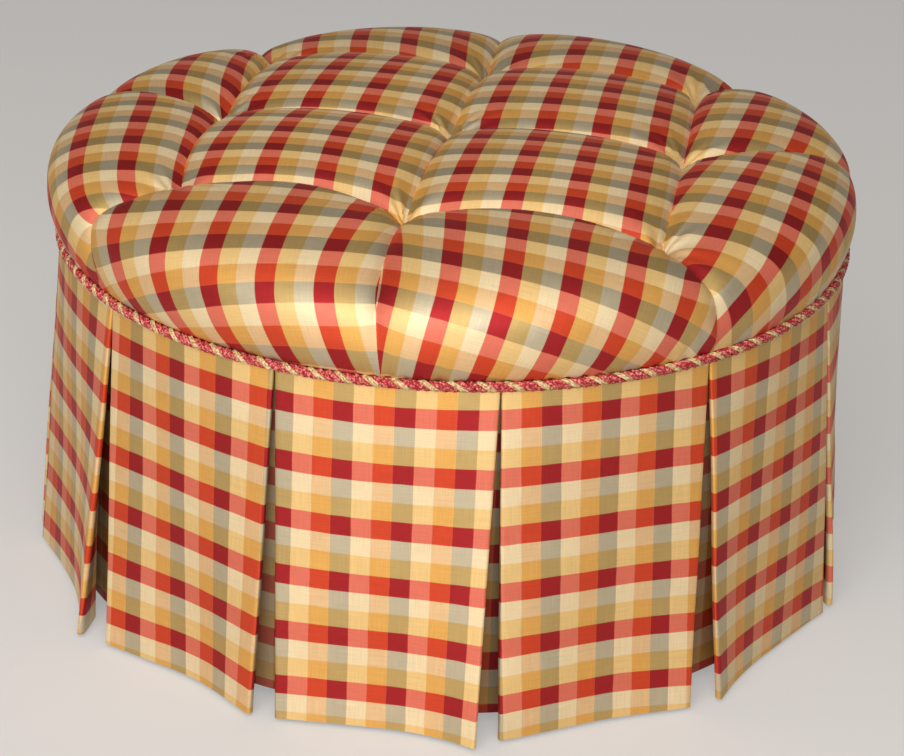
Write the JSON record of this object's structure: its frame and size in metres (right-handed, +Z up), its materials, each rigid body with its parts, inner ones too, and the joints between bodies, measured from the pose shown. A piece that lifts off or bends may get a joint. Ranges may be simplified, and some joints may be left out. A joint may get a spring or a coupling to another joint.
{
  "type": "tufted tuffet with pleated skirt",
  "caption": "Round low seat: a deep tufted plaid cushion over a drum frame, with twisted cord trim and a floor length kick pleat skirt.",
  "frame": {"origin": "centre of the underside, on the floor under the middle tuft", "axes": "+Z up, X along the rows of tufts, -Y towards the front"},
  "size_m": [0.8316, 0.8316, 0.461],
  "materials": {
    "silk_plaid": "woven plaid taffeta with a soft silk lustre",
    "trim_rope": "twisted satin cord, dark red with a cream strand",
    "padding": "open foam with a bonded polyester wrap",
    "twine": "waxed upholstery twine",
    "plywood": "birch plywood, unfinished",
    "pine": "planed pine, unfinished",
    "foot_wood": "turned beech with dark stain",
    "steel": "zinc plated",
    "glide_plastic": "moulded nylon",
    "dust_cloth": "black non-woven cambric",
    "tack_card": "grey upholstery card"
  },
  "bodies": {
    "root": {"deck": "plywood", "side_hoop": "plywood", "lower_ring": "plywood", "dust_cover": "dust_cloth", "deck_rail_left": "pine", "deck_rail_right": "pine", "foam_core": "padding", "cushion_cover": "silk_plaid", "tack_strip": "tack_card", "trim_cord": "trim_rope", "post_1": "pine", "foot_1": "foot_wood", "hanger_bolt_1": "steel", "glide_1": "glide_plastic", "post_2": "pine", "foot_2": "foot_wood", "hanger_bolt_2": "steel", "glide_2": "glide_plastic", "post_3": "pine", "foot_3": "foot_wood", "hanger_bolt_3": "steel", "glide_3": "glide_plastic", "post_4": "pine", "foot_4": "foot_wood", "hanger_bolt_4": "steel", "glide_4": "glide_plastic", "tuft_tie_1": "twine", "tuft_tie_2": "twine", "tuft_tie_3": "twine", "tuft_tie_4": "twine", "tuft_tie_5": "twine", "tuft_tie_6": "twine", "tuft_tie_7": "twine", "tuft_tie_8": "twine", "tuft_tie_9": "twine", "skirt_panel_1": "silk_plaid", "pleat_backing_1": "silk_plaid", "skirt_panel_2": "silk_plaid", "pleat_backing_2": "silk_plaid", "skirt_panel_3": "silk_plaid", "pleat_backing_3": "silk_plaid", "skirt_panel_4": "silk_plaid", "pleat_backing_4": "silk_plaid", "skirt_panel_5": "silk_plaid", "pleat_backing_5": "silk_plaid", "skirt_panel_6": "silk_plaid", "pleat_backing_6": "silk_plaid", "skirt_panel_7": "silk_plaid", "pleat_backing_7": "silk_plaid", "skirt_panel_8": "silk_plaid", "pleat_backing_8": "silk_plaid", "skirt_panel_9": "silk_plaid", "pleat_backing_9": "silk_plaid", "skirt_panel_10": "silk_plaid", "pleat_backing_10": "silk_plaid", "skirt_panel_11": "silk_plaid", "pleat_backing_11": "silk_plaid", "skirt_panel_12": "silk_plaid", "pleat_backing_12": "silk_plaid"}
  },
  "joints": []
}
